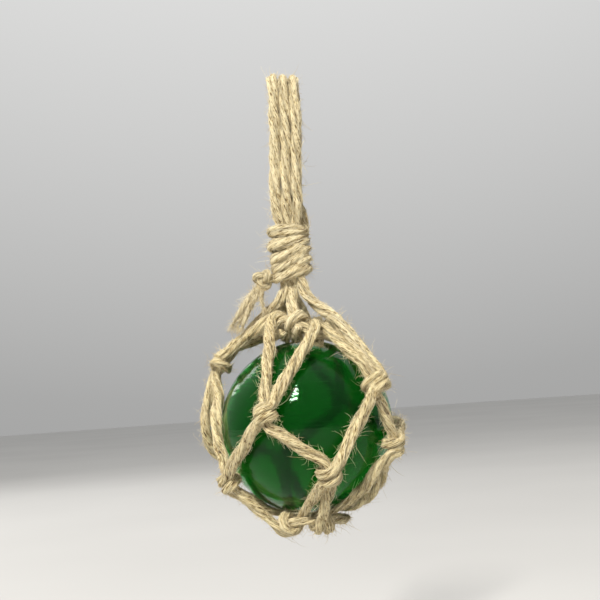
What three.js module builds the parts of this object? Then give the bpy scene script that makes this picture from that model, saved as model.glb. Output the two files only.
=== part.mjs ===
// Glass float ball in a knotted jute net, hanging from a rope loop.
// Millimetres, +Z up. The origin is the inner top of the loop, where it bears on
// whatever it hangs from; the ball hangs plumb below it. +X is to the right and
// -Y is the front.
//
// Each piece is one rope, drawn as a six-sided tube along its real route: taut legs
// lie on the glass, and a knot is one strand turned round another.
import * as THREE from "three";

// ---- driving sizes
const BALL_R = 63.5; // glass ball, 127 mm across
const BALL_Z = -259.2; // centre of the ball below the bearing point
const ROPE_R = 3.8; // three-ply rope, free
const TIGHT_R = 2.85; // the same rope pulled tight in a knot
const UNDER_R = 2.3; // pressed between a knot and the glass
const GAP = 0.35; // clearance between neighbouring ropes
const LEG_STEP = 11; // length of one facet along a straight leg
const TURN_STEPS = 12; // facets in one turn round another rope
const ROPE_SIDES = 6;

const BEAR_R = 4.5; // radius that the loop is bent over
const LANE_X = 7.9; // spacing of the three strands over the bend
const KNOT_X = -3.5; // the gathering knot sits a little left of plumb
const STRAND_R = 2.75; // strands squeezed inside the gathering knot
// its winding strand: height and radius at the right and at the left of each turn
const WRAP_RIGHT = [[-114.6, 2.85], [-120.8, 2.85], [-127.2, 3.0], [-134.5, 3.1], [-141.7, 3.1]];
const WRAP_LEFT = [[-112.4, 3.5], [-123.6, 3.7], [-134.2, 3.2], [-141.8, 2.9], [-148.9, 2.75]];
const WRAP_FROM = -40; // winding angle, clockwise from +X as seen from above
const WRAP_TO = 1610;

const LOW_R = 72.9; // lower ring: distance from the ball's centre
const LOW_RHO = 24.5; // its radius in plan
const LOW_Y = -6.0; // and its centre in plan, a little to the front
const H_OFF = 3.6; // half the distance between two legs that share a hitch
const LANE = TIGHT_R + GAP / 2 + 0.05; // two strands side by side in a knot

const CENTRE = new THREE.Vector3(0, 0, BALL_Z);

// knots on the glass: azimuth from the front, elevation, extra stand-off, strands in the core
const KNOTS = {
  upper_front: [-22.5, 9.0, 0, 1],
  upper_right: [47.0, 21.5, 1.3, 2],
  upper_back: [155, 15, 0, 1],
  upper_left: [-92, 40, 6, 2],
  lower_front: [11, -25.8, 0, 1],
  lower_right: [57, -13, 0.1, 1],
  lower_back: [200, -24, 0, 1],
  lower_left: [-64.5, -28.5, 0, 1],
};
// the upper ring stands off the glass, pulled up unevenly: azimuth, radius in plan, height over the ball's centre
const TOP_RING = [
  [-52, 22.0, 74.5],
  [-15, 26.5, 77.5],
  [20, 36, 65.2],
  [60, 31.5, 66.5],
  [105, 27.0, 70.5],
  [152, 25.5, 76.0],
  [200, 25.5, 73.0],
  [248, 24.0, 75.0],
];
// each net cord is folded round the lower ring and runs up both ways. Its core side passes
// straight through its knots, its wrap side turns round the cords it meets.
const CORDS = [
  { fold: -36, core: [200, "upper_left", "lower_left"], wrap: ["lower_front", "upper_right", 105] },
  {
    fold: 14, core: [-50, "upper_front", "lower_front"], wrap: ["lower_right", "upper_back", 200],
    // one leg runs round the right side to the back
    between: [[73, -6.4, 68.1], [80, -4.6, 68.2], [89, -3, 68.2], [98, -2, 68.2], [108, -1.4, 68.2], [118, -1.1, 68.2], [128, -0.8, 68.2]],
  },
  {
    fold: 168, core: [20, "upper_right", "lower_right"], wrap: ["lower_back", "upper_left", -50],
    // one leg is slack and stands off the glass at the left
    between: [[-146, -14.5, 73.5], [-127, -17, 71.5], [-109, -13.5, 75], [-100.5, -2, 77.4], [-98, 14, 77.5]],
  },
  { fold: 242, core: [105, "upper_back", "lower_back"], wrap: ["lower_left", "upper_front", 20] },
];

// ---- small helpers
const rad = THREE.MathUtils.degToRad;
const deg = THREE.MathUtils.radToDeg;
const V = (x, y, z) => new THREE.Vector3(x, y, z);
const mix = (a, b, f) => a.clone().lerp(b, f);
const smooth = (f) => (f <= 0 ? 0 : f >= 1 ? 1 : f * f * (3 - 2 * f));
const at = (p, r) => ({ p, r });

function onSphere(az, el, r) {
  const a = rad(az),
    e = rad(el);
  return V(Math.cos(e) * Math.sin(a), -Math.cos(e) * Math.cos(a), Math.sin(e)).multiplyScalar(r).add(CENTRE);
}
// east, north and outward directions at a point over the glass
function frameAt(p) {
  const out = p.clone().sub(CENTRE).normalize();
  const east = V(0, 0, 1).cross(out).normalize();
  return { east, north: out.clone().cross(east), out };
}

// ---- rings
function topRingCurve(per = 24) {
  const q = TOP_RING.map(([a, r, z]) => V(r * Math.sin(rad(a)), -r * Math.cos(rad(a)), z).add(CENTRE));
  const n = q.length,
    out = [];
  for (let i = 0; i < n; i++) {
    const p0 = q[(i + n - 1) % n], p1 = q[i], p2 = q[(i + 1) % n], p3 = q[(i + 2) % n];
    for (let j = 0; j < per; j++) {
      const t = j / per;
      const c = (a, b, d, e) => 0.5 * (2 * b + (d - a) * t + (2 * a - 5 * b + 4 * d - e) * t * t + (3 * b - a - 3 * d + e) * t ** 3);
      out.push(V(c(p0.x, p1.x, p2.x, p3.x), c(p0.y, p1.y, p2.y, p3.y), c(p0.z, p1.z, p2.z, p3.z)));
    }
  }
  return out;
}
function lowRingCurve(n = 192) {
  const out = [];
  for (let i = 0; i < n; i++) {
    const a = (2 * Math.PI * i) / n;
    const r = LOW_RHO * (1 + 0.06 * Math.cos(2 * a + 0.6));
    const x = r * Math.sin(a), y = LOW_Y - r * Math.cos(a);
    out.push(V(x, y, -Math.sqrt(LOW_R ** 2 - x * x - y * y)).add(CENTRE));
  }
  return out;
}
const RINGS = { top: topRingCurve(), low: lowRingCurve() };
const azimuth = (p) => deg(Math.atan2(p.x, -p.y));
const turnDiff = (a, b) => ((((a - b + 180) % 360) + 360) % 360) - 180;

// a ring's point at an azimuth, its run, and the directions to the equator and outward
function ringAt(which, az) {
  const c = RINGS[which],
    n = c.length;
  const d = c.map((p) => turnDiff(azimuth(p), az));
  let i = 0;
  d.forEach((x, k) => Math.abs(x) < Math.abs(d[i]) && (i = k));
  const j = d[i] < 0 ? (i + 1) % n : (i - 1 + n) % n;
  const w = Math.abs(d[i]) / (Math.abs(d[i]) + Math.abs(d[j]) + 1e-12);
  const p = mix(c[i], c[j], w);
  const run = c[(i + 2) % n].clone().sub(c[(i - 2 + n) % n]).normalize();
  const out = p.clone().sub(CENTRE).normalize();
  out.addScaledVector(run, -out.dot(run)).normalize();
  const eq = run.clone().cross(out);
  if (eq.z * (which === "top" ? 1 : -1) > 0) eq.negate();
  return { p, run, eq, out };
}

// turns round a ring, as angles from equator-ward (0) to outward (90). from and to are the points
// that the rope comes from and goes to: the first and last angle are turned to lie in line with them.
function hitch(which, az, a0, a1, s0, s1, from, to) {
  const rho = Math.hypot(ringAt(which, az).p.x, ringAt(which, az).p.y);
  const f = ringAt(which, az);
  if (from) {
    const d = from.clone().sub(ringAt(which, az + deg(s0 / rho)).p).normalize();
    a0 += turnDiff(deg(Math.atan2(d.dot(f.eq), -d.dot(f.out))), a0);
  }
  if (to) {
    const d = to.clone().sub(ringAt(which, az + deg(s1 / rho)).p).normalize();
    a1 += turnDiff(deg(Math.atan2(-d.dot(f.eq), d.dot(f.out))), a1);
  }
  const n = Math.max(2, Math.ceil((Math.abs(a1 - a0) / 360) * (TURN_STEPS - 1)));
  const pts = [];
  for (let i = 0; i <= n; i++) {
    const a = rad(a0 + ((a1 - a0) * i) / n);
    const s = s0 + ((s1 - s0) * i) / n;
    const r = which === "low" ? TIGHT_R + (UNDER_R - TIGHT_R) * Math.max(0, -Math.sin(a)) : TIGHT_R;
    const d = TIGHT_R + (which === "low" ? 2 : 3) * GAP + r;
    pts.push(at(ringAt(which, az + deg(s / rho)).p.addScaledVector(f.eq, d * Math.cos(a)).addScaledVector(f.out, d * Math.sin(a)), r));
  }
  return pts;
}

// a taut leg from a to b (both left out), laid over the glass where a straight line would cut it;
// it stays thin and close to the glass for the length snug at each end
function drape(a, b, ra, rb, step = LEG_STEP, snug = [0, 0]) {
  const L = a.distanceTo(b),
    m = 200,
    line = [],
    run = [0];
  for (let i = 0; i <= m; i++) {
    const f = i / m;
    const p = mix(a, b, f);
    const low = BALL_R + Math.min(ra, rb) + 0.45;
    const free = BALL_R + ROPE_R + 0.3;
    const least = low + (free - low) * Math.max(0, Math.min(1, Math.min(f * L - snug[0], (1 - f) * L - snug[1]) / 12));
    const v = p.clone().sub(CENTRE);
    line.push(v.length() < least ? v.setLength(least).add(CENTRE) : p);
    if (i) run.push(run[i - 1] + line[i].distanceTo(line[i - 1]));
  }
  const total = run[m],
    n = Math.max(2, Math.round(total / step)),
    pts = [];
  for (let i = 1; i < n; i++) {
    const s = (total * i) / n;
    const k = run.findIndex((x) => x >= s) - 1;
    const e = Math.max(0, Math.min(s - snug[0], total - s - snug[1]) / 13);
    const r = e >= 1 ? ROPE_R : (s < total - s ? ra : rb) * (1 - e) + ROPE_R * e;
    pts.push(at(mix(line[k], line[k + 1], (s - run[k]) / (run[k + 1] - run[k])), r));
  }
  return pts;
}
// strings sections of one rope together, with a draped leg wherever null, or a leg's two snug
// lengths, stands between two
const snug = (first, last) => ({ snug: [first, last] });
function join(...parts) {
  let out = [],
    leg = null;
  for (const s of parts) {
    if (s === null || s.snug) {
      leg = s ? s.snug : [0, 0];
      continue;
    }
    if (!s.length) continue;
    if (leg) {
      const a = out[out.length - 1];
      out = out.concat(drape(a.p, s[0].p, a.r, s[0].r, LEG_STEP, leg));
    }
    leg = null;
    out = out.concat(s);
  }
  return out;
}
// a point a little way along the leg from p to q
function aim(p, q) {
  const pts = drape(p, q, TIGHT_R, TIGHT_R, 4);
  return (pts.find((e) => e.p.distanceTo(p) >= 16) || pts[pts.length - 1]).p;
}

// ---- knots on the glass
function knotCentre(name) {
  const [az, el, off] = KNOTS[name];
  return onSphere(az, el, BALL_R + 2 * GAP + 2 * UNDER_R + TIGHT_R + off);
}
// where the core comes from and goes to, for each knot
const CORE_RUN = {};
for (const { fold, core } of CORDS) {
  const [az, k, m] = core;
  CORE_RUN[k] = [ringAt("top", az).p, knotCentre(m)];
  CORE_RUN[m] = [knotCentre(k), ringAt("low", fold).p];
}
function knotFrame(name) {
  const o = knotCentre(name);
  const { east, north, out } = frameAt(o);
  const [up, low] = CORE_RUN[name];
  const d = low.clone().sub(up).normalize();
  d.addScaledVector(out, -d.dot(out)).normalize();
  const down = d.multiplyScalar(0.5).addScaledVector(north, -0.5).normalize();
  const across = out.clone().cross(down.clone().negate()).normalize();
  if (across.dot(east) < 0) across.negate();
  return { o, down, across, out };
}
function corePoints(name, lane, above, below = 8) {
  const { o, down, across } = knotFrame(name);
  return [-above, -above / 2, 0, below / 2, below].map((u) => at(o.clone().addScaledVector(down, u).addScaledVector(across, lane), TIGHT_R));
}
// in from the upper right across the front, round behind, across the front again and out to the lower left
function wrapPoints(name) {
  const { o, down, across, out } = knotFrame(name);
  const half = KNOTS[name][3] === 1 ? 0 : TIGHT_R + GAP / 2;
  const pitch = 2 * TIGHT_R + GAP + 0.25;
  const a0 = 55,
    a1 = -415,
    n = Math.round(((a0 - a1) / 360) * TURN_STEPS),
    pts = [];
  for (let i = 0; i <= n; i++) {
    const f = i / n,
      a = rad(a0 + (a1 - a0) * f);
    const r = TIGHT_R + (UNDER_R - TIGHT_R) * Math.max(0, -Math.cos(a));
    const d = TIGHT_R + GAP + r;
    const side = d * Math.sin(a) + half * Math.max(-1, Math.min(1, Math.sin(a) / 0.5));
    pts.push(at(o.clone().addScaledVector(down, ((f - 0.5) * pitch * (a0 - a1)) / 360).addScaledVector(across, side).addScaledVector(out, d * Math.cos(a)), r));
  }
  return pts;
}
function netCord({ fold, core, wrap, between = [] }) {
  const [azA, k1, m1] = core,
    [m2, k2, azB] = wrap;
  const double = KNOTS[k1][3] === 2;
  const k1p = corePoints(k1, double ? -LANE : 0, double ? 17 : 8);
  const m1p = corePoints(m1, 0, 8);
  const m2p = wrapPoints(m2).reverse();
  const k2p = wrapPoints(k2).reverse();
  const pa = ringAt("top", azA).p, pb = ringAt("top", azB).p, pn = ringAt("low", fold).p;
  return join(
    hitch("top", azA, 60, 285, H_OFF, H_OFF, aim(pa, k1p[0].p)).reverse(),
    null, k1p, null, m1p, snug(0, 17),
    hitch("low", fold, 90, 630, -5.2, 5.2, aim(pn, m1p[m1p.length - 1].p), aim(pn, m2p[0].p)),
    snug(17, 0), m2p, null, between.map(([az, el, r]) => at(onSphere(az, el, r), ROPE_R)), null, k2p, null,
    hitch("top", azB, 60, 285, -H_OFF, -H_OFF, aim(pb, k2p[k2p.length - 1].p)),
  );
}

// ---- hanging loop: three ropes over the bend, six strands, gathered by one of them
const SLOTS = { left_front: [-5.9, -3.1], left_back: [-5.9, 3.1], mid_front: [0, -3.1], mid_back: [0, 3.1], right_front: [5.9, -3.1] };
const LANES = { left: -LANE_X, mid: 0, right: LANE_X };
const SPREAD = [-16.5, -32, -48, -64, -80, -93];
function strand(name) {
  const [x, y] = SLOTS[name],
    lane = LANES[name.split("_")[0]],
    side = name.endsWith("front") ? -1 : 1,
    y0 = side * (BEAR_R + ROPE_R);
  const pts = SPREAD.map((z) => {
    const f = smooth((z + 16.5) / (-93 + 16.5));
    return at(V(lane + KNOT_X * f, y0 + (side * 5.4 - y0) * f, z), ROPE_R);
  });
  pts.push(at(V(KNOT_X + x * 0.38 + lane * 0.62, y + side * 0.9, -101), 3.2));
  const straight = name === "right_front" ? [-109, -124, -137] : [-109, -124, -138, -150, -157];
  for (const z of straight) pts.push(at(V(KNOT_X + x, y, z), STRAND_R));
  return pts;
}
function bend(lane, lift) {
  const R = BEAR_R + ROPE_R,
    pts = [];
  for (let i = 0; i <= 8; i++) {
    const t = (Math.PI * i) / 8;
    pts.push(at(V(lane, -R * Math.cos(t), -BEAR_R + (R + lift) * Math.sin(t)), ROPE_R));
  }
  return pts;
}
const via = (...list) => list.map(([x, y, z, r = ROPE_R]) => at(V(x, y, z), r));
// from the gathering knot down to an upper knot of the net, ending tucked inside it
function bridle(name, knot, ...route) {
  const { o, down, across } = knotFrame(knot);
  const end = [-17, -10, -5, 0, 4.5].map((u) => at(o.clone().addScaledVector(down, u).addScaledVector(across, LANE), TIGHT_R));
  const head = strand(name).concat(via(...route));
  return head.concat(drape(head[head.length - 1].p, end[0].p, ROPE_R, TIGHT_R, 13), end);
}
// from the gathering knot down and round the upper ring
function toRing(name, az, point, turnTo = 432, along = 0) {
  const head = strand(name).concat(via(point));
  return head.concat(hitch("top", az, 195, turnTo, -along, along, head[head.length - 1].p));
}
// the winding: turns of rounded-rectangle plan round the other five strands. It comes in from the
// back at the right, crosses the front to the left and leaves at the lower left.
function winding() {
  const hx = 5.9, hy = 3.1,
    far = hx + STRAND_R + 2 * GAP + 3.0,
    pts = [];
  for (let q = -1; q < 19; q++)
    for (const b of [15, 45, 75]) {
      const a = q * 90 + b;
      if (a < WRAP_FROM || a > WRAP_TO) continue;
      const m = ((a % 360) + 360) % 360,
        k = Math.floor(Math.max(a, 0) / 360),
        side = m < 90 || m > 270 ? 1 : -1;
      const right = WRAP_RIGHT[m < 180 || a < 0 ? k : k + 1], left = WRAP_LEFT[k];
      const f = 0.5 - (0.5 * (side * hx + (far - hx) * Math.cos(rad(a)))) / far;
      const r = right[1] + (left[1] - right[1]) * f;
      const off = STRAND_R + GAP + r + 0.25;
      const z = a < 0 ? right[0] + (1.8 * -a) / 40 : right[0] + (left[0] - right[0]) * f;
      pts.push(at(V(KNOT_X + side * hx + off * Math.cos(rad(a)), -(m < 180 ? 1 : -1) * hy - off * Math.sin(rad(a)), z), r));
    }
  return pts;
}
function hangerLeft() {
  return [
    ...bridle("left_front", "upper_left", [-13.6, -2.4, -164.5], [-22, -0.6, -172]).reverse(),
    ...bend(-LANE_X, 1.6),
    ...toRing("left_back", 242, [-12, 7, -167]),
  ];
}
function hangerMiddle() {
  return [...toRing("mid_front", -2.5, [-4.6, -9.8, -166], 740, 3.6).reverse(), ...bend(0, 0.8), ...toRing("mid_back", 152, [-1, 7, -165])];
}
function hangerRight() {
  const back = SPREAD.slice(0, 5).concat(-92).map((z) => {
    const f = smooth((z + 16.5) / (-93 + 16.5));
    return at(V(LANE_X + KNOT_X * f, 8.3 - 2.9 * f, z), ROPE_R);
  });
  back.push(at(V(KNOT_X + 11, 5.3, -101), 3.5));
  // the winding's end leaves at the lower left, thickens into its stopper knot and frays
  const tail = via([-19.2, -6.3, -148.8, 2.9], [-21.8, -7.3, -148.6, 5.6], [-25.0, -8.1, -149.0, 6.6], [-28.0, -8.4, -152.2, 5.6], [-30, -8.8, -156.5, 3.9], [-34.5, -9.2, -163.5, 4.1], [-41, -9.6, -173, 4.2], [-46.3, -9.7, -181, 3.8], [-49, -9.8, -185, 3.2]);
  const front = bridle("right_front", "upper_right", [3, -4.3, -149, 2.9], [4.4, -7.8, -154.4], [5.6, -9, -160], [9.5, -10.6, -167], [17, -14.4, -174.5], [27, -21.5, -184]);
  return [...front.reverse(), ...bend(LANE_X, 0), ...back, ...winding(), ...tail];
}
// a ring is one rope whose two ends butt together under a hitch
function ringRope(which, az) {
  const c = RINGS[which],
    n = c.length;
  let i0 = 0;
  c.forEach((p, k) => Math.abs(turnDiff(azimuth(p), az)) < Math.abs(turnDiff(azimuth(c[i0]), az)) && (i0 = k));
  const q = Array.from({ length: n + 1 }, (_, k) => c[(i0 + k) % n]),
    run = [0];
  for (let k = 1; k <= n; k++) run.push(run[k - 1] + q[k].distanceTo(q[k - 1]));
  const pts = [];
  for (let i = 0; i <= 26; i++) {
    const s = GAP + ((run[n] - 2 * GAP) * i) / 26;
    const k = Math.min(run.findIndex((x) => x >= s) - 1, n - 1);
    pts.push(at(mix(q[k], q[k + 1], (s - run[k]) / (run[k + 1] - run[k])), which === "top" ? TIGHT_R : TIGHT_R - 0.15));
  }
  return pts;
}

// ---- solids
// A rope's centre line with its own radius at each section. The section is a polygon of
// radius 1, so the frames carry the size.
class RopeCurve extends THREE.Curve {
  constructor(sections) {
    super();
    this.s = sections;
  }
  getPoint(t, target = new THREE.Vector3()) {
    const n = this.s.length - 1,
      i = Math.min(Math.floor(t * n + 1e-9), n - 1);
    return target.lerpVectors(this.s[i].p, this.s[i + 1].p, t * n - i);
  }
  getPointAt(u, target) {
    return this.getPoint(u, target);
  }
  getSpacedPoints() {
    return this.s.map((e) => e.p.clone());
  }
  getTangentAt(u, target = new THREE.Vector3()) {
    const n = this.s.length - 1,
      i = Math.round(u * n);
    const a = this.s[Math.max(i - 1, 0)].p, b = this.s[i].p, c = this.s[Math.min(i + 1, n)].p;
    target.set(0, 0, 0);
    if (i > 0) target.add(b.clone().sub(a).normalize());
    if (i < n) target.add(c.clone().sub(b).normalize());
    return target.normalize();
  }
  computeFrenetFrames(segments, closed) {
    const f = super.computeFrenetFrames(segments, closed);
    f.normals.forEach((v, i) => v.multiplyScalar(this.s[i].r));
    f.binormals.forEach((v, i) => v.multiplyScalar(this.s[i].r));
    return f;
  }
}
const section = new THREE.Shape(
  Array.from({ length: ROPE_SIDES }, (_, i) => new THREE.Vector2(Math.cos((2 * Math.PI * i) / ROPE_SIDES), Math.sin((2 * Math.PI * i) / ROPE_SIDES))),
);
function rope(name, sections, colour) {
  const geometry = new THREE.ExtrudeGeometry(section, { steps: sections.length - 1, extrudePath: new RopeCurve(sections), bevelEnabled: false });
  const mesh = new THREE.Mesh(geometry, new THREE.MeshStandardMaterial({ color: colour, roughness: 0.95, metalness: 0 }));
  mesh.name = name;
  return mesh;
}
function glassBall() {
  const n = 16,
    profile = Array.from({ length: n + 1 }, (_, i) => {
      const a = -Math.PI / 2 + (Math.PI * i) / n;
      return new THREE.Vector2(i === 0 || i === n ? 0 : BALL_R * Math.cos(a), BALL_R * Math.sin(a));
    });
  const mesh = new THREE.Mesh(new THREE.LatheGeometry(profile, 32), new THREE.MeshStandardMaterial({ color: 0x0f5a2a, roughness: 0.06, metalness: 0 }));
  mesh.rotation.x = Math.PI / 2;
  mesh.position.copy(CENTRE);
  mesh.name = "glass_ball";
  return mesh;
}

const float = new THREE.Group();
float.add(glassBall());
const net = new THREE.Group();
net.add(rope("top_ring", ringRope("top", 208), 0xc9ae7c));
net.add(rope("bottom_ring", ringRope("low", 242), 0xb89a68));
CORDS.forEach((c, i) => net.add(rope("net_cord_" + (i + 1), netCord(c), 0xc4a873)));
const hanger = new THREE.Group();
hanger.add(rope("hanger_rope_left", hangerLeft(), 0xd2b986));
hanger.add(rope("hanger_rope_middle", hangerMiddle(), 0xcdb37f));
hanger.add(rope("hanger_rope_right", hangerRight(), 0xd6be8c));
float.add(net, hanger);

export default float;
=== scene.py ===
from math import atan2, ceil, cos, degrees, pi, radians, sin, sqrt, tan

import bpy
import numpy as np
from mathutils import Matrix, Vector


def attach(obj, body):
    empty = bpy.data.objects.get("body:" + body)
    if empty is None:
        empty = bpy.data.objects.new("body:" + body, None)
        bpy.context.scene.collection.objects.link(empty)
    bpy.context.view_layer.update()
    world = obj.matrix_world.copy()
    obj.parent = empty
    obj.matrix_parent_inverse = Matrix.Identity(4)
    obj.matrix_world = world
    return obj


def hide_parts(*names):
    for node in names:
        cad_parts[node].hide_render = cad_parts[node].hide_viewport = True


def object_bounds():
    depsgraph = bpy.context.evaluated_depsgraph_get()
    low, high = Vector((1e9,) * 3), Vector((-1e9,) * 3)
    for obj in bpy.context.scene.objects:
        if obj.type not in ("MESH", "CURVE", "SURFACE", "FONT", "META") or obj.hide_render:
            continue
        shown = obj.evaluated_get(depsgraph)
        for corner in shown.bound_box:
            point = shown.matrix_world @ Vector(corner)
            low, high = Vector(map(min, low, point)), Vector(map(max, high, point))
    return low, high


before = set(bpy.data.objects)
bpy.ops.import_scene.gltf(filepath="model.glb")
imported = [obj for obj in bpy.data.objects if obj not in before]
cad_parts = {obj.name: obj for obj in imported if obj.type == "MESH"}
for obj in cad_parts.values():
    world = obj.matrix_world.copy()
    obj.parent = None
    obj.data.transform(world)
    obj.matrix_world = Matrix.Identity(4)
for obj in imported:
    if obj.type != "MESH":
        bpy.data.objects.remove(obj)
CAD_LO, CAD_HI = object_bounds()
scene = bpy.context.scene


def unit(v):
    v = np.asarray(v, float)
    return v / np.linalg.norm(v)


# ------------------------------------------------------------------ camera
def make_camera():
    data = bpy.data.cameras.new("camera")
    data.lens, data.sensor_width = 60.27, 36.0
    data.clip_start, data.clip_end = 0.01, 60.0
    cam = bpy.data.objects.new("camera", data)
    scene.collection.objects.link(cam)
    pitch, roll = 0.0974949, -0.0706553
    forward = np.array([0.0, cos(pitch), sin(pitch)])
    right = np.array([1.0, 0.0, 0.0])
    up = np.cross(right, forward)
    x = cos(roll) * right + sin(roll) * up
    y = -sin(roll) * right + cos(roll) * up
    m = Matrix.Identity(4)
    for i in range(3):
        m[i][0], m[i][1], m[i][2] = x[i], y[i], -forward[i]
    m[0][3], m[1][3], m[2][3] = 0.0014174, -0.750, -0.2386196
    cam.matrix_world = m
    scene.camera = cam


make_camera()

# ------------------------------------------------------------------ rope routes
BALL_R, BALL_Z = 63.5, -259.2
ROPE_R = 3.8  # free rope
TIGHT_R = 2.85  # rope inside a knot
UNDER_R = 2.3  # rope pressed between a knot and the glass
GAP = 0.35
BEAR_R = 4.5  # the inside of the loop's bend
LANE_X = 7.9  # the three bends lie side by side this far apart
KNOT_X = -3.5
STRAND_R = 2.75  # a strand inside the big knot
CENTRE = np.array([0.0, 0.0, BALL_Z])

# azimuth from the front, elevation, extra stand-off, strands in the core
KNOTS = {
    "upper_front": (-22.5, 9.0, 0.0, 1),
    "upper_right": (47.0, 21.5, 1.3, 2),
    "upper_back": (155.0, 15.0, 0.0, 1),
    "upper_left": (-92.0, 40.0, 6.0, 2),
    "lower_front": (11.0, -25.8, 0.0, 1),
    "lower_right": (57.0, -13.0, 0.1, 1),
    "lower_back": (200.0, -24.0, 0.0, 1),
    "lower_left": (-64.5, -28.5, 0.0, 1),
}
TOP_RING = [
    (-52, 22.0, 74.5), (-15, 26.5, 77.5), (20, 36.0, 65.2), (60, 31.5, 66.5),
    (105, 27.0, 70.5), (152, 25.5, 76.0), (200, 25.5, 73.0), (248, 24.0, 75.0),
]
LOW_R, LOW_RHO, LOW_Y = 72.9, 24.5, -6.0
# each net cord: its fold at the lower ring, the side that is the core of its knots, the side that wraps
CORDS = [
    (-36.0, (200, "upper_left", "lower_left"), ("lower_front", "upper_right", 105)),
    (14.0, (-50, "upper_front", "lower_front"), ("lower_right", "upper_back", 200)),
    (168.0, (20, "upper_right", "lower_right"), ("lower_back", "upper_left", -50)),
    (242.0, (105, "upper_back", "lower_back"), ("lower_left", "upper_front", 20)),
]
LANE = TIGHT_R + GAP / 2 + 0.05
H_OFF = 3.6


def on_sphere(az, el, r):
    a, e = radians(az), radians(el)
    return CENTRE + r * np.array([cos(e) * sin(a), -cos(e) * cos(a), sin(e)])


def frame_at(p):
    er = unit(p - CENTRE)
    es = unit(np.cross([0, 0, 1.0], er))
    return es, np.cross(er, es), er


def catmull(pts, per):
    n, out = len(pts), []
    for i in range(n):
        p0, p1, p2, p3 = (np.asarray(pts[(i + k) % n], float) for k in (-1, 0, 1, 2))
        for j in range(per):
            t = j / per
            out.append(0.5 * ((2 * p1) + (p2 - p0) * t + (2 * p0 - 5 * p1 + 4 * p2 - p3) * t * t
                              + (3 * p1 - p0 - 3 * p2 + p3) * t ** 3))
    return np.array(out)


def knot_centre(name):
    az, el, off, _ = KNOTS[name]
    return on_sphere(az, el, BALL_R + GAP + 2 * UNDER_R + GAP + TIGHT_R + off)


def low_ring():
    out = []
    for i in range(192):
        a = 2 * pi * i / 192
        rr = LOW_RHO * (1 + 0.06 * cos(2 * a + 0.6))
        x, y = rr * sin(a), LOW_Y - rr * cos(a)
        out.append(CENTRE + [x, y, -sqrt(LOW_R ** 2 - x * x - y * y)])
    return np.array(out)


RINGS = {
    "top": catmull([CENTRE + [r * sin(radians(a)), -r * cos(radians(a)), z] for a, r, z in TOP_RING], 24),
    "low": low_ring(),
}


def ring_at(which, az):
    """Point, tangent, direction to the equator and direction outward of a ring at an azimuth."""
    c = RINGS[which]
    a = np.degrees(np.arctan2(c[:, 0], -c[:, 1]))
    d = (a - az + 180) % 360 - 180
    i = int(np.argmin(abs(d)))
    n = len(c)
    j = (i + 1) % n if d[i] < 0 else (i - 1) % n
    w = abs(d[i]) / (abs(d[i]) + abs(d[j]) + 1e-12)
    p = c[i] * (1 - w) + c[j] * w
    t = unit(c[(i + 2) % n] - c[(i - 2) % n])
    er = unit(p - CENTRE)
    er = unit(er - t * (er @ t))
    o = np.cross(t, er)
    if o[2] * (1 if which == "top" else -1) > 0:
        o = -o
    return p, t, o, er


def hitch(which, az, th0, th1, s0, s1, start=None, end=None):
    """Turns round a ring, from and to angles that lie in line with the legs."""
    _, t, o, er = ring_at(which, az)
    rho = np.linalg.norm((ring_at(which, az)[0] - CENTRE)[:2])
    if start is not None:
        d = unit(start - ring_at(which, az + degrees(s0 / rho))[0])
        th0 += (degrees(atan2(d @ o, -(d @ er))) - th0 + 180) % 360 - 180
    if end is not None:
        d = unit(end - ring_at(which, az + degrees(s1 / rho))[0])
        th1 += (degrees(atan2(-(d @ o), d @ er)) - th1 + 180) % 360 - 180
    n = max(2, int(ceil(abs(th1 - th0) / 360 * 11)))
    out = []
    for i in range(n + 1):
        f = i / n
        th, s = radians(th0 + (th1 - th0) * f), s0 + (s1 - s0) * f
        p = ring_at(which, az + degrees(s / max(rho, 1)))[0]
        rr = TIGHT_R + (UNDER_R - TIGHT_R) * max(0.0, -sin(th)) if which == "low" else TIGHT_R
        aa = TIGHT_R + (2 if which == "low" else 3) * GAP + rr
        out.append((p + aa * (cos(th) * o + sin(th) * er), rr))
    return out


def drape(a, b, ra, rb, step=11.0, snug=(0.0, 0.0)):
    """A taut leg between two points, laid over the glass where a straight line would cut it. It stays thin and
    close to the glass for the length snug at each end."""
    a, b = np.asarray(a, float), np.asarray(b, float)
    long = np.linalg.norm(b - a)
    pts = []
    for i in range(201):
        f = i / 200
        p = a + (b - a) * f
        v = p - CENTRE
        d = np.linalg.norm(v)
        lo = BALL_R + min(ra, rb) + 0.45
        lim = lo + (BALL_R + ROPE_R + 0.3 - lo) * max(0.0, min(1.0, min(f * long - snug[0], (1 - f) * long - snug[1]) / 12.0))
        pts.append(CENTRE + v / d * lim if d < lim else p)
    pts = np.array(pts)
    seg = np.r_[0, np.cumsum(np.linalg.norm(np.diff(pts, axis=0), axis=1))]
    n = max(2, int(round(seg[-1] / step)))
    out = []
    for i in range(1, n):
        s = seg[-1] * i / n
        p = np.array([np.interp(s, seg, pts[:, k]) for k in range(3)])
        e = max(0.0, min(s - snug[0], seg[-1] - s - snug[1]) / 13.0)
        r = ROPE_R if e >= 1 else (ra if s < seg[-1] - s else rb) * (1 - e) + ROPE_R * e
        out.append((p, r))
    return out


AXES = {}
for _low, (_ha, _k, _m), _w in CORDS:
    AXES[_k] = (ring_at("top", _ha)[0], knot_centre(_m))
    AXES[_m] = (knot_centre(_k), ring_at("low", _low)[0])


def knot_axes(name):
    """A knot's place and its own axes: down the core, across, outward."""
    o = knot_centre(name)
    up, low = AXES[name]
    es, en, er = frame_at(o)
    d = unit(np.asarray(low) - np.asarray(up))
    d = unit(d - er * (d @ er))
    ax = unit(0.5 * d - 0.5 * en)
    ac = unit(np.cross(er, -ax))
    return o, ax, (-ac if ac @ es < 0 else ac), er


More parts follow.
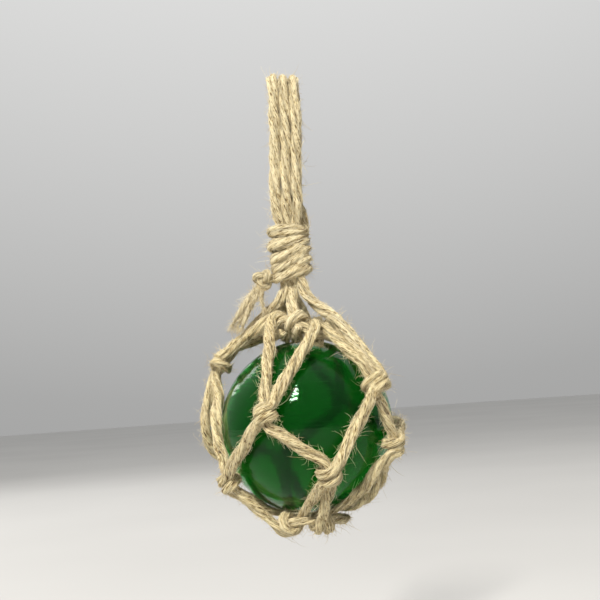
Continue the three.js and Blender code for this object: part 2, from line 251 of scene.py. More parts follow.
def core_points(name, lane=0.0, up_len=8.0, low_len=8.0):
    o, ax, ac, _ = knot_axes(name)
    return [(o + ax * u + ac * lane, TIGHT_R) for u in (-up_len, -up_len / 2, 0, low_len / 2, low_len)]


def wrap_points(name):
    """One strand's turns round a knot's core."""
    o, ax, ac, er = knot_axes(name)
    half = 0.0 if KNOTS[name][3] == 1 else TIGHT_R + GAP / 2
    pitch = 2 * TIGHT_R + GAP + 0.25
    th0, th1 = 55.0, -415.0
    n = int(round((th0 - th1) / 360 * 12))
    out = []
    for i in range(n + 1):
        f = i / n
        th = radians(th0 + (th1 - th0) * f)
        u = (f - 0.5) * pitch * (th0 - th1) / 360
        c, s = cos(th), sin(th)
        rr = TIGHT_R + (UNDER_R - TIGHT_R) * max(0.0, -c)
        aa = TIGHT_R + GAP + rr
        shift = half * max(-1.0, min(1.0, s / 0.5))
        out.append((o + ax * u + ac * (aa * s + shift) + er * (aa * c), rr))
    return out


def join(*parts):
    """Joins pieces of a route. None, or a leg's snug lengths, stands for a leg between two pieces."""
    out, pending = [], None
    for s in parts:
        if s is None or isinstance(s, tuple):
            pending = s or (0.0, 0.0)
            continue
        if not len(s):
            continue
        if pending:
            (a, ra), (b, rb) = out[-1], s[0]
            out += drape(a, b, ra, rb, snug=pending)
            pending = None
        out += list(s)
    return out


def aim(p, q, dist=16.0):
    best = None
    for x, _ in drape(p, q, TIGHT_R, TIGHT_R, step=4.0):
        if np.linalg.norm(x - p) >= dist:
            return x
        best = x
    return best


# legs that do not run straight: round the right side to the back, and slack, off the glass, at the left
SLACK = {
    1: ((73, -6.4, 68.1), (80, -4.6, 68.2), (89, -3, 68.2), (98, -2, 68.2), (108, -1.4, 68.2), (118, -1.1, 68.2), (128, -0.8, 68.2)),
    2: ((-146, -14.5, 73.5), (-127, -17, 71.5), (-109, -13.5, 75), (-100.5, -2, 77.4), (-98.0, 14, 77.5)),
}


def net_cord(j):
    low_az, (ha, k1, m1), (m2, k2, hb) = CORDS[j]
    lane = 0.0 if KNOTS[k1][3] == 1 else -LANE
    pa, pb, pn = ring_at("top", ha)[0], ring_at("top", hb)[0], ring_at("low", low_az)[0]
    k1p = core_points(k1, lane=lane, up_len=17.0 if KNOTS[k1][3] == 2 else 8.0)
    m1p = core_points(m1)
    m2p, k2p = wrap_points(m2)[::-1], wrap_points(k2)[::-1]
    first = hitch("top", ha, 60, 285, H_OFF, H_OFF, start=aim(pa, k1p[0][0]))[::-1]
    last = hitch("top", hb, 60, 285, -H_OFF, -H_OFF, start=aim(pb, k2p[-1][0]))
    fold = hitch("low", low_az, 90, 630, -5.2, 5.2, start=aim(pn, m1p[-1][0]), end=aim(pn, m2p[0][0]))
    slack = [(on_sphere(*v), ROPE_R) for v in SLACK.get(j, ())]
    return join(first, None, k1p, None, m1p, (0.0, 17.0), fold, (17.0, 0.0), m2p, None, slack, None, k2p, None, last)


SLOTS = {"AF": (-5.9, -3.1), "AB": (-5.9, 3.1), "BF": (0.0, -3.1), "BB": (0.0, 3.1), "CF": (5.9, -3.1)}


def strand(name):
    """One strand from just under the loop's bend down through the big knot."""
    x, y = SLOTS[name]
    lane = {"A": -LANE_X, "B": 0.0, "C": LANE_X}[name[0]]
    side = -1 if name[1] == "F" else 1
    y0 = side * (BEAR_R + ROPE_R)
    out = []
    for z in (-16.5, -32, -48, -64, -80, -93):
        f = (z + 16.5) / (-93 + 16.5)
        f = f * f * (3 - 2 * f) if f > 0 else 0
        out.append((np.array([lane + KNOT_X * f, y0 + (side * 5.4 - y0) * f, z]), ROPE_R))
    w = 0.62
    out.append((np.array([KNOT_X + x * (1 - w) + lane * w, y + side * 0.9, -101.0]), 3.2))
    for z in (-109, -124, -137) if name == "CF" else (-109, -124, -138, -150, -157):
        out.append((np.array([KNOT_X + x, y, z]), STRAND_R))
    return out


def bend(lane, lift=0.0):
    r = BEAR_R + ROPE_R
    return [(np.array([lane, -r * cos(pi * i / 8), -BEAR_R + (r + lift) * sin(pi * i / 8)]), ROPE_R) for i in range(9)]


# the turns of the gathering knot: height and radius at the right and the left of each turn
WRAP_RIGHT = ((-114.6, 2.85), (-120.8, 2.85), (-127.2, 3.0), (-134.5, 3.1), (-141.7, 3.1))
WRAP_LEFT = ((-112.4, 3.5), (-123.6, 3.7), (-134.2, 3.2), (-141.8, 2.9), (-148.9, 2.75))


def big_wrap():
    """The turns of the gathering knot: in from the back at the right, over the front, out at the lower left."""
    hx, hy = 5.9, 3.1
    out = []
    for a in sorted(q * 90 + b for q in range(-1, 19) for b in (15, 45, 75)):
        if a < -40 or a > 1610:
            continue
        t, q = radians(a), a % 360
        k = max(a, 0) // 360
        if q < 180 or a < 0:
            (z0, r0), (z1, r1) = WRAP_RIGHT[k], WRAP_LEFT[k]
        else:
            (z0, r0), (z1, r1) = WRAP_RIGHT[k + 1], WRAP_LEFT[k]
        far = hx + STRAND_R + 2 * GAP + 3.0
        f = 0.5 - 0.5 * ((1 if (q < 90 or q > 270) else -1) * hx + (far - hx) * cos(t)) / far
        rr = r0 + (r1 - r0) * f
        off = STRAND_R + GAP + rr + 0.25
        x = (1 if (q < 90 or q > 270) else -1) * hx + off * cos(t)
        y = -(1 if q < 180 else -1) * hy - off * sin(t)
        z = z0 + 1.8 * -a / 40 if a < 0 else z0 + (z1 - z0) * f
        out.append((np.array([KNOT_X + x, y, z]), rr))
    return out


def bridle(name, knot, via):
    o, ax, ac, _ = knot_axes(knot)
    tail = [(o + ax * u + ac * LANE, TIGHT_R) for u in (-17.0, -10.0, -5.0, 0.0, 4.5)]
    out = strand(name) + [(np.array(v[:3], float), v[3] if len(v) > 3 else ROPE_R) for v in via]
    return out + drape(via[-1][:3], tail[0][0], ROPE_R, TIGHT_R, step=13) + tail


def to_ring(name, az, via, to=432, along=0.0):
    pts = [(np.array(v, float), ROPE_R) for v in via]
    return strand(name) + pts + hitch("top", az, 195, to, -along, along, start=pts[-1][0])


def hanger_left():
    down = bridle("AF", "upper_left", [(-13.6, -2.4, -164.5), (-22.0, -0.6, -172.0)])
    return down[::-1] + bend(-LANE_X, 1.6) + to_ring("AB", 242.0, [(-12.0, 7.0, -167.0)])


def hanger_middle():
    front = to_ring("BF", -2.5, [(-4.6, -9.8, -166.0)], 740, 3.6)
    return front[::-1] + bend(0.0, 0.8) + to_ring("BB", 152.0, [(-1.0, 7.0, -165.0)])


STOPPER = np.array([-24.8, -8.0, -149.0])


def hanger_right():
    """One end goes down the front to the net. The other comes round the back and winds over the other five strands."""
    back = []
    for z in (-16.5, -32, -48, -64, -80, -92):
        f = (z + 16.5) / (-93 + 16.5)
        f = f * f * (3 - 2 * f)
        back.append((np.array([LANE_X + KNOT_X * f, 8.3 - 2.9 * f, z]), ROPE_R))
    back.append((np.array([KNOT_X + 11.0, 5.3, -101.0]), 3.5))
    tail = [(np.array([-19.6, -6.4, -148.8]), 3.0), (STOPPER + [0.6, 0.4, 0.2], 2.6)]
    front = bridle("CF", "upper_right", [(3.0, -4.3, -149.0, 2.9), (4.4, -7.8, -154.4), (5.6, -9.0, -160.0),
                                         (9.5, -10.6, -167.0), (17.0, -14.4, -174.5), (27.0, -21.5, -184.0)])
    return front[::-1] + bend(LANE_X) + back + big_wrap() + tail


def ring_rope(which, gap_az):
    c = RINGS[which]
    a = np.degrees(np.arctan2(c[:, 0], -c[:, 1]))
    i0 = int(np.argmin(abs((a - gap_az + 180) % 360 - 180)))
    pts = c[[(i0 + k) % len(c) for k in range(len(c) + 1)]]
    seg = np.r_[0, np.cumsum(np.linalg.norm(np.diff(pts, axis=0), axis=1))]
    at = 0.35 + (seg[-1] - 0.7) * np.arange(27) / 26
    rr = TIGHT_R if which == "top" else TIGHT_R - 0.15
    return [(np.array([np.interp(s, seg, pts[:, k]) for k in range(3)]), rr) for s in at]


ROUTES = {
    "hanger_rope_left": hanger_left(),
    "hanger_rope_middle": hanger_middle(),
    "hanger_rope_right": hanger_right(),
    "top_ring": ring_rope("top", 208.0),
    "bottom_ring": ring_rope("low", 242.0),
    "net_cord_1": net_cord(0),
    "net_cord_2": net_cord(1),
    "net_cord_3": net_cord(2),
    "net_cord_4": net_cord(3),
}


# ------------------------------------------------------------------ rope geometry
def smooth_route(route, step):
    """A route's smooth line, with its radius, at even steps."""
    p_all = np.array([p for p, _ in route], float)
    r_all = np.array([r for _, r in route], float)
    n, pts, rad = len(p_all), [], []
    t = np.arange(10)[:, None] / 10
    for i in range(n - 1):
        p1, p2 = p_all[i], p_all[i + 1]
        p0 = p_all[i - 1] if i > 0 else 2 * p1 - p2
        p3 = p_all[i + 2] if i + 2 < n else 2 * p2 - p1
        d = [max(np.linalg.norm(b - a), 1e-6) ** 0.5 for a, b in ((p0, p1), (p1, p2), (p2, p3))]
        m1 = d[1] * ((p1 - p0) / d[0] - (p2 - p0) / (d[0] + d[1]) + (p2 - p1) / d[1])
        m2 = d[1] * ((p2 - p1) / d[1] - (p3 - p1) / (d[1] + d[2]) + (p3 - p2) / d[2])
        pts.append((2 * t ** 3 - 3 * t * t + 1) * p1 + (t ** 3 - 2 * t * t + t) * m1
                   + (-2 * t ** 3 + 3 * t * t) * p2 + (t ** 3 - t * t) * m2)
        rad.append(r_all[i] * (1 - t[:, 0]) + r_all[i + 1] * t[:, 0])
    p = np.vstack(pts + [p_all[-1:]])
    r = np.concatenate(rad + [r_all[-1:]])
    s = np.r_[0, np.cumsum(np.linalg.norm(np.diff(p, axis=0), axis=1))]
    at = np.linspace(0, s[-1], max(4, int(round(s[-1] / step))) + 1)
    p = np.stack([np.interp(at, s, p[:, k]) for k in range(3)], axis=1)
    return p, np.interp(at, s, r), at


def frames(p):
    t = np.gradient(p, axis=0)
    t /= np.linalg.norm(t, axis=1)[:, None]
    n = np.zeros_like(t)
    n[0] = unit(np.cross(t[0], unit([0.31, 0.87, 0.22])))
    for i in range(1, len(p)):
        v = n[i - 1] - t[i] * (n[i - 1] @ t[i])
        n[i] = v / np.linalg.norm(v)
    return t, n, np.cross(t, n)


def smooth_noise(rng, s, cell):
    """A smooth random line, about -1 to 1, that changes over cell."""
    g = rng.standard_normal(int(s[-1] / cell) + 4) * 0.6
    b = s / cell
    j = b.astype(int)
    f = b - j
    f = f * f * (3 - 2 * f)
    return g[j] * (1 - f) + g[j + 1] * f


def noise_field(rng, s, th, around, cell):
    """Smooth noise over a rope's surface: around cells about it and cell long, it closes on itself."""
    g = rng.standard_normal((int(s[-1] / cell) + 4, around)) * 0.6
    a = (th / (2 * pi)) % 1.0 * around
    i = a.astype(int) % around
    fa = a - np.floor(a)
    fa = fa * fa * (3 - 2 * fa)
    b = s / cell
    j = b.astype(int)
    fb = b - j
    fb = (fb * fb * (3 - 2 * fb))[:, None]
    k = (i + 1) % around
    return (g[np.ix_(j, i)] * (1 - fa) + g[np.ix_(j, k)] * fa) * (1 - fb) + (
        g[np.ix_(j + 1, i)] * (1 - fa) + g[np.ix_(j + 1, k)] * fa) * fb


def clear_glass(p, room=0.04):
    """Points pushed out of the glass ball."""
    v = p - CENTRE
    d = np.linalg.norm(v, axis=-1, keepdims=True)
    return np.where(d < BALL_R + room, CENTRE + v / np.maximum(d, 1e-9) * (BALL_R + room), p)


def make_object(name, verts, quads, tris, material, uv=None, values=None, body="root", smooth=True):
    """A mesh from arrays. uv is per corner, values is {attribute: one number a vertex}."""
    quads = np.asarray(quads, np.int64).reshape(-1, 4)
    tris = np.asarray(tris, np.int64).reshape(-1, 3)
    me = bpy.data.meshes.new(name)
    me.vertices.add(len(verts))
    me.vertices.foreach_set("co", (np.asarray(verts, float) / 1000.0).astype(np.float32).ravel())
    corners = np.concatenate([quads.ravel(), tris.ravel()])
    me.loops.add(len(corners))
    me.loops.foreach_set("vertex_index", corners.astype(np.int32))
    me.polygons.add(len(quads) + len(tris))
    starts = np.concatenate([np.arange(len(quads)) * 4, len(quads) * 4 + np.arange(len(tris)) * 3])
    me.polygons.foreach_set("loop_start", starts.astype(np.int32))
    me.polygons.foreach_set("use_smooth", np.full(len(quads) + len(tris), smooth))
    if uv is not None:
        layer = me.uv_layers.new(name="lay")
        layer.data.foreach_set("uv", np.asarray(uv, np.float32).ravel())
    for key, value in (values or {}).items():
        a = me.attributes.new(key, "FLOAT", "POINT")
        a.data.foreach_set("value", np.asarray(value, np.float32))
    me.update(calc_edges=True)
    me.materials.append(material)
    o = bpy.data.objects.new(name, me)
    scene.collection.objects.link(o)
    if body:
        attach(o, body)
    return o


class Rope:
    """A laid rope along a route: its plies turn about its line, and its fibres run along the plies."""

    def __init__(self, route, seed, swell=1.10, around=30, step=1.3, pitch=84.0, plies=3, offset=0.43, ply=0.58, rough=1.0):
        self.rng = rng = np.random.default_rng(seed)
        self.p, self.r, self.s = smooth_route(route, step)
        self.t, self.n, self.b = frames(self.p)
        s = self.s
        # a rope in a tight turn or knot is pressed until it fills the room
        tight = np.clip((ROPE_R - self.r) / 0.9, 0, 1) * (swell > 1.0)
        self.wide = np.where(self.p[:, 2] > -158, 0.34, 0.20) * tight
        self.r = self.r * (swell + 0.03 * tight)
        self.r *= 1 + 0.045 * smooth_noise(rng, s, 16.0)
        self.th = np.arange(around) * 2 * pi / around
        self.twist = -2 * pi * s / pitch + 0.45 * smooth_noise(rng, s, 38.0) + rng.uniform(0, 6.28)
        prof = np.zeros((len(s), around))
        for i in range(plies):
            beta = 2 * pi * i / plies + 0.16 * smooth_noise(rng, s, 19.0)
            c = offset * (1 + 0.13 * smooth_noise(rng, s, 23.0))
            q = ply * (1 + 0.06 * smooth_noise(rng, s, 12.0))
            a = self.th[None, :] - beta[:, None]
            inside = q[:, None] ** 2 - (c[:, None] * np.sin(a)) ** 2
            prof = np.maximum(prof, c[:, None] * np.cos(a) + np.sqrt(np.maximum(inside, 0)))
        # painted shade: how deep each point lies in the grooves between the plies; the jute material darkens the colour
        # by it
        self.groove_shade = np.clip(1 - (prof - 0.6) / 0.34, 0, 1)
        prof += rough * (0.040 * noise_field(rng, s, self.th, 17, 8.0) + 0.030 * noise_field(rng, s, self.th, around, 3.4))
        self.prof = prof
        self.around = around
        # squeezed against the glass it spreads sideways
        up = self.p - CENTRE
        high = self.p[:, 2] > -158
        up[high] = self.p[high] - np.stack([np.full(high.sum(), KNOT_X), np.zeros(high.sum()), self.p[high, 2]], 1)
        up /= np.maximum(np.linalg.norm(up, axis=1, keepdims=True), 1e-6)
        side = np.cross(self.t, up)
        self.side = side / np.maximum(np.linalg.norm(side, axis=1, keepdims=True), 0.35)

    def spread(self, i, out):
        """Offsets made wider across the glass where the rope is squeezed."""
        side = self.side[i]
        part = (out * side).sum(-1, keepdims=True)
        return out + side * part * self.wide[i][..., None]

    def surface(self, i, angle, lift=1.0):
        """Points at ring indices i and angles in the rope's turning frame."""
        j = (angle / (2 * pi) * self.around).astype(int) % self.around
        w = angle + self.twist[i]
        out = np.cos(w)[:, None] * self.n[i] + np.sin(w)[:, None] * self.b[i]
        return self.p[i] + self.spread(i, out) * (self.r[i] * self.prof[i, j] * lift)[:, None], out

    def mesh(self):
        w = self.th[None, :] + self.twist[:, None]
        out = np.cos(w)[..., None] * self.n[:, None, :] + np.sin(w)[..., None] * self.b[:, None, :]
        part = (out * self.side[:, None, :]).sum(-1, keepdims=True) * self.wide[:, None, None]
        v = self.p[:, None, :] + (out + self.side[:, None, :] * part) * (self.r[:, None] * self.prof)[..., None]
        v = clear_glass(v)
        n, m = len(self.s), self.around
        verts = np.vstack([v.reshape(-1, 3), self.p[0] - self.t[0] * 0.6, self.p[-1] + self.t[-1] * 0.6])
        i, j = np.meshgrid(np.arange(n - 1), np.arange(m), indexing="ij")
        k = (j + 1) % m
        quads = np.stack([i * m + j, i * m + k, (i + 1) * m + k, (i + 1) * m + j], axis=-1).reshape(-1, 4)
        ju = j / m
        ku = (j + 1) / m
        va, vb = self.s[i] / 1000, self.s[i + 1] / 1000
        uv = np.stack([ju, va, ku, va, ku, vb, ju, vb], axis=-1).reshape(-1, 2)
        a = np.arange(m)
        b = (a + 1) % m
        first = np.stack([np.full(m, n * m), b, a], axis=-1)
        last = np.stack([np.full(m, n * m + 1), (n - 1) * m + a, (n - 1) * m + b], axis=-1)
        tris = np.vstack([first, last])
        cap = []
        for end, row in ((0.0, self.s[0]), (1.0, self.s[-1])):
            c = np.zeros((m, 3, 2))
            c[:, :, 0] = (a / m)[:, None]
            c[:, :, 1] = row / 1000 + np.array([0.002, 0, 0.0])
            cap.append(c.reshape(-1, 2))
        # the two end cap centres get a fixed share of the painted groove shade
        groove_shade = np.concatenate([self.groove_shade.ravel(), [0.7, 0.7]])
        return verts, quads, tris, np.vstack([uv] + cap), groove_shade


# ------------------------------------------------------------------ loose fibres
def tubes(points, radii):
    """Thin closed three-sided tapered tubes along (hairs, points, 3)."""
    n, k, _ = points.shape
    d = np.gradient(points, axis=1)
    d /= np.maximum(np.linalg.norm(d, axis=2, keepdims=True), 1e-9)
    e1 = np.cross(d[:, 0], np.array([0.36, 0.48, 0.8]))
    e1 /= np.maximum(np.linalg.norm(e1, axis=1, keepdims=True), 1e-6)
    verts = np.zeros((n, 3 * (k - 1) + 1, 3))
    for i in range(k - 1):
        e1 = e1 - d[:, i] * (e1 * d[:, i]).sum(1, keepdims=True)
        e1 /= np.maximum(np.linalg.norm(e1, axis=1, keepdims=True), 1e-6)
        e2 = np.cross(d[:, i], e1)
        for j in range(3):
            c, s = cos(2 * pi * j / 3), sin(2 * pi * j / 3)
            verts[:, 3 * i + j] = points[:, i] + (c * e1 + s * e2) * radii[:, i, None]
    verts[:, -1] = points[:, -1]
    quads = [[3 * i + j, 3 * i + (j + 1) % 3, 3 * i + 3 + (j + 1) % 3, 3 * i + 3 + j] for i in range(k - 2) for j in range(3)]
    last = 3 * (k - 2)
    tris = [[last + j, last + (j + 1) % 3, last + 3] for j in range(3)] + [[2, 1, 0]]
    base = (np.arange(n) * (3 * (k - 1) + 1))[:, None, None]
    return verts.reshape(-1, 3), (base + np.array(quads)).reshape(-1, 4), (base + np.array(tris)).reshape(-1, 3)


def turn(v, axis, angle):
    c, s = np.cos(angle)[:, None], np.sin(angle)[:, None]
    return v * c + np.cross(axis, v) * s + axis * (axis * v).sum(1, keepdims=True) * (1 - c)


LOW = np.array(CAD_LO) * 1000 - [6.6, 6.6, 5.5]
HIGH = np.array(CAD_HI) * 1000 + [6.6, 6.6, 13.5]


class Fibres:
    """Collects thin fibres and makes one piece of them."""

    def __init__(self):
        self.v, self.q, self.t, self.tone, self.n = [], [], [], [], 0

    def add(self, points, radii, tone):
        points = clear_glass(points, 0.16)
        points = np.clip(points, LOW, HIGH)
        v, q, t = tubes(points, radii)
        self.q.append(q + self.n)
        self.t.append(t + self.n)
        self.v.append(v)
        self.tone.append(np.repeat(tone, len(v) // len(points)))
        self.n += len(v)

    def make(self, name, material):
        return make_object(name, np.vstack(self.v), np.vstack(self.q), np.vstack(self.t), material,
                           values={"tone": np.concatenate(self.tone)})


def grow(rng, base, direction, length, radius, k=5, curl=1.1, droop=0.0):
    """Curved hairs from base points: (hairs, k, 3) and their radii."""
    n = len(base)
    axis = np.cross(direction, rng.standard_normal((n, 3)))
    axis /= np.maximum(np.linalg.norm(axis, axis=1, keepdims=True), 1e-6)
    rate = rng.normal(0, curl, n) / (k - 1)
    swing = rng.normal(0, curl * 0.5, n) / (k - 1)
    pts = np.zeros((n, k, 3))
    pts[:, 0] = base
    d = direction.copy()
    for i in range(1, k):
        pts[:, i] = pts[:, i - 1] + d * (length / (k - 1))[:, None]
        d = turn(d, axis, rate)
        axis = turn(axis, d, swing)
        axis -= d * (axis * d).sum(1, keepdims=True)
        axis /= np.maximum(np.linalg.norm(axis, axis=1, keepdims=True), 1e-6)
        d[:, 2] -= droop
        d /= np.linalg.norm(d, axis=1, keepdims=True)
    f = np.arange(k) / (k - 1)
    return pts, radius[:, None] * (1 - 0.55 * f)[None, :]


def fuzz(rope, fibres, per_mm, seed, median=4.4, longest=21.0, radius=0.135):
    """Stray hairs all over a rope, mostly lying along it."""
    rng = np.random.default_rng(seed)
    n = int(per_mm * rope.s[-1])
    i = rng.integers(2, len(rope.s) - 2, n)
    a = rng.uniform(0, 2 * pi, n)
    base, out = rope.surface(i, a, 0.9)
    sign = np.where(rng.random(n) < 0.5, -1.0, 1.0)[:, None]
    side = np.cross(rope.t[i], out)
    lean = np.radians(np.clip(np.abs(rng.normal(0, 30, n)) + 8, 0, 88))[:, None]
    d = rope.t[i] * sign * np.cos(lean) + out * np.sin(lean) + side * rng.normal(0, 0.35, (n, 1))
    d /= np.linalg.norm(d, axis=1, keepdims=True)
    length = np.clip(median * np.exp(rng.normal(0, 0.55, n)), 1.3, longest)
    rad = radius * rng.uniform(0.6, 1.25, n)
    pts, radii = grow(rng, base, d, length, rad)
    fibres.add(pts, radii, rng.random(n))


def slivers(rope, fibres, per_mm, seed, radius=0.27):
    """Coarser bundles of fibre that lie on the plies and follow their lay."""
    rng = np.random.default_rng(seed)
    n = max(1, int(per_mm * rope.s[-1]))
    k = 6
    step = rope.s[1] - rope.s[0]
    span = np.clip(rng.normal(13, 5, n), 5, 26)
    span = np.minimum(span, rope.s[-1] * 0.4)
    start = rng.uniform(0, rope.s[-1] - span - 0.5)
    a0 = rng.uniform(0, 2 * pi, n)
    drift = rng.normal(0, 0.35, n)
    lift = rng.uniform(0.0, 0.10, n)
    bow = np.abs(rng.normal(0, 0.05, n))
    pts = np.zeros((n, k, 3))
    for j in range(k):
        f = j / (k - 1)
        i = np.clip(((start + span * f) / step).astype(int), 0, len(rope.s) - 1)
        x, out = rope.surface(i, (a0 + drift * f) % (2 * pi), 1.0)
        up = (lift + bow * sin(pi * f)) * rope.r[i] - (0.35 if j in (0, k - 1) else 0.0)
        pts[:, j] = x + out * up[:, None]
    rad = radius * rng.uniform(0.5, 1.2, n)
    f = np.abs(np.linspace(-1, 1, k))
    fibres.add(pts, rad[:, None] * (1 - 0.5 * f ** 2)[None, :], rng.uniform(0.25, 1.0, n))


def tuft(fibres, point, direction, n, length, spread, radius, seed, size=2.6, curl=0.7):
    """The loose brush of a cut end."""
    rng = np.random.default_rng(seed)
    direction = unit(direction)
    u = unit(np.cross(direction, [0.3, 0.5, 0.8]))
    w = np.cross(direction, u)
    a, r = rng.uniform(0, 2 * pi, n), size * np.sqrt(rng.random(n))
    base = point + (np.cos(a) * r)[:, None] * u + (np.sin(a) * r)[:, None] * w - direction * 1.2
    d = direction + (np.cos(a) * r / size * spread)[:, None] * u + (np.sin(a) * r / size * spread)[:, None] * w
    d = d + rng.normal(0, spread * 0.35, (n, 3))
    d /= np.linalg.norm(d, axis=1, keepdims=True)
    pts, radii = grow(rng, base, d, length * rng.uniform(0.45, 1.15, n), radius * rng.uniform(0.6, 1.3, n), curl=curl, droop=0.03)
    fibres.add(pts, radii, rng.uniform(0.2, 1.0, n))


# ------------------------------------------------------------------ materials
class Nodes:
    def __init__(self, name):
        self.m = bpy.data.materials.new(name)
        self.m.use_nodes = True
        self.t = self.m.node_tree
        self.t.nodes.clear()
        self.out = self.t.nodes.new("ShaderNodeOutputMaterial")

    def add(self, kind, inputs=None, **props):
        n = self.t.nodes.new("ShaderNode" + kind)
        for k, v in props.items():
            setattr(n, k, v)
        for k, v in (inputs or {}).items():
            if isinstance(v, bpy.types.NodeSocket):
                self.t.links.new(v, n.inputs[k])
            else:
                n.inputs[k].default_value = v
        return n

    def math(self, op, a, b=0.0, clamp=False):
        return self.add("Math", {0: a, 1: b}, operation=op, use_clamp=clamp).outputs[0]

    def ramp(self, factor, stops):
        n = self.add("ValToRGB", {0: factor})
        e = n.color_ramp.elements
        while len(e) > 1:
            e.remove(e[-1])
        e[0].position, e[0].color = stops[0][0], (*stops[0][1], 1)
        for at, colour in stops[1:]:
            x = e.new(at)
            x.color = (*colour, 1)
        return n.outputs[0]

    def mix(self, factor, a, b, blend="MIX"):
        n = self.add("Mix", data_type="RGBA", blend_type=blend)
        for i, v in ((0, factor), (6, a), (7, b)):
            if isinstance(v, bpy.types.NodeSocket):
                self.t.links.new(v, n.inputs[i])
            else:
                n.inputs[i].default_value = v if i == 0 else (*v, 1)
        return n.outputs[2]


def jute(name, pale, gold, brown, dark):
    """Straw-coloured fibre in long streaks along the plies, with pale and brown flecks, and painted shade that darkens
    the grooves between the plies.
    """
    k = Nodes(name)
    uv = k.add("UVMap", uv_map="lay").outputs[0]
    xyz = k.add("SeparateXYZ", {0: uv})
    u, v = xyz.outputs[0], xyz.outputs[1]
    shear = k.math("ADD", u, k.math("MULTIPLY", v, 2.4))
    place = k.add("NewGeometry").outputs["Position"]

    def noise(across, along, detail, rough):
        at = k.add("CombineXYZ", {0: k.math("MULTIPLY", shear, across), 1: k.math("MULTIPLY", v, along)}).outputs[0]
        return k.add("TexNoise", {"Vector": at, "Scale": 1.0, "Detail": detail, "Roughness": rough}, noise_dimensions="2D").outputs[0]

    fine = noise(54.0, 190.0, 3.0, 0.65)
    streak = noise(18.0, 105.0, 2.0, 0.55)
    fleck = noise(24.0, 300.0, 1.0, 0.5)
    blotch = k.add("TexNoise", {"Vector": place, "Scale": 90.0, "Detail": 2.0}).outputs[0]
    wide = k.add("TexNoise", {"Vector": place, "Scale": 24.0, "Detail": 1.0}).outputs[0]
    tone = k.math("ADD", k.math("MULTIPLY", fine, 2.3), k.math("MULTIPLY", streak, 1.5))
    tone = k.math("ADD", tone, k.math("MULTIPLY", fleck, 1.3))
    tone = k.math("ADD", tone, k.math("MULTIPLY", blotch, 0.5))
    tone = k.math("ADD", tone, k.math("MULTIPLY", wide, 0.4))
    tone = k.math("SUBTRACT", tone, 2.42)
    colour = k.ramp(tone, [(0.0, dark), (0.21, brown), (0.45, gold), (0.75, pale)])
    # painted shade: the colour is mixed towards the darkest fibre tone in the grooves between the plies
    groove_shade = k.add("Attribute", attribute_name="groove_shade").outputs["Fac"]
    depth = k.math("MULTIPLY", k.math("POWER", groove_shade, 1.5), 0.62, clamp=True)
    colour = k.mix(depth, colour, dark)
    height = k.math("ADD", k.math("MULTIPLY", fine, 1.1), k.math("MULTIPLY", streak, 0.9))
    height = k.math("ADD", height, k.math("MULTIPLY", fleck, 0.4))
    bump = k.add("Bump", {"Strength": 1.0, "Distance": 0.0012, "Height": height}).outputs[0]
    rough = k.math("ADD", 0.74, k.math("MULTIPLY", fine, 0.22))
    s = k.add("BsdfPrincipled", {"Base Color": colour, "Roughness": rough, "Normal": bump,
                                 "Specular IOR Level": 0.2, "Sheen Weight": 0.12, "Sheen Roughness": 0.5})
    s.inputs["Sheen Tint"].default_value = (1.0, 0.9, 0.7, 1)
    k.t.links.new(s.outputs[0], k.out.inputs[0])
    return k.m


def hair(name, low, high):
    """Single fibres, each of its own tone, paler and browner along their length."""
    k = Nodes(name)
    tone = k.add("Attribute", attribute_name="tone").outputs["Fac"]
    place = k.add("NewGeometry").outputs["Position"]
    fleck = k.add("TexNoise", {"Vector": place, "Scale": 420.0, "Detail": 2.0}).outputs[0]
    f = k.math("ADD", k.math("MULTIPLY", tone, 0.75), k.math("SUBTRACT", k.math("MULTIPLY", fleck, 0.7), 0.22), clamp=True)
    colour = k.ramp(f, [(0.0, low), (0.5, tuple(0.5 * (a + b) for a, b in zip(low, high))), (1.0, high)])
    rough = k.math("ADD", 0.5, k.math("MULTIPLY", fleck, 0.3))
    s = k.add("BsdfPrincipled", {"Base Color": colour, "Roughness": rough, "Specular IOR Level": 0.35})
    k.t.links.new(s.outputs[0], k.out.inputs[0])
    return k.m


def glass():
    """Bottle-green blown glass with faint ripples that run round the ball."""
    k = Nodes("green_glass")
    place = k.add("TexCoord").outputs["Object"]
    xyz = k.add("SeparateXYZ", {0: place})
    ring_at_ = k.add("CombineXYZ", {0: k.math("MULTIPLY", xyz.outputs[0], 14.0), 1: k.math("MULTIPLY", xyz.outputs[1], 14.0),
                                    2: k.math("MULTIPLY", xyz.outputs[2], 260.0)}).outputs[0]
    lines = k.add("TexNoise", {"Vector": ring_at_, "Scale": 1.0, "Detail": 3.0, "Roughness": 0.6}).outputs[0]
    soft = k.add("TexNoise", {"Vector": place, "Scale": 34.0, "Detail": 1.0}).outputs[0]
    height = k.math("ADD", k.math("MULTIPLY", lines, 0.62), k.math("MULTIPLY", soft, 0.8))
    bump = k.add("Bump", {"Strength": 0.45, "Distance": 0.0012, "Height": height}).outputs[0]
    s = k.add("BsdfPrincipled", {"Base Color": (0.03, 0.335, 0.058, 1), "Roughness": 0.03, "IOR": 1.45,
                                 "Specular IOR Level": 0.1, "Transmission Weight": 0.96, "Normal": bump})
    s.inputs["Specular Tint"].default_value = (0.38, 0.48, 0.39, 1)
    k.t.links.new(s.outputs[0], k.out.inputs[0])
    return k.m


def floor_material():
    k = Nodes("pale_floor")
    place = k.add("NewGeometry").outputs["Position"]
    n = k.add("TexNoise", {"Vector": place, "Scale": 1.6, "Detail": 2.0}).outputs[0]
    colour = k.ramp(n, [(0.3, (0.52, 0.516, 0.508)), (0.7, (0.55, 0.546, 0.537))])
    s = k.add("BsdfPrincipled", {"Base Color": colour, "Roughness": 0.9, "Specular IOR Level": 0.1})
    k.t.links.new(s.outputs[0], k.out.inputs[0])
    return k.m


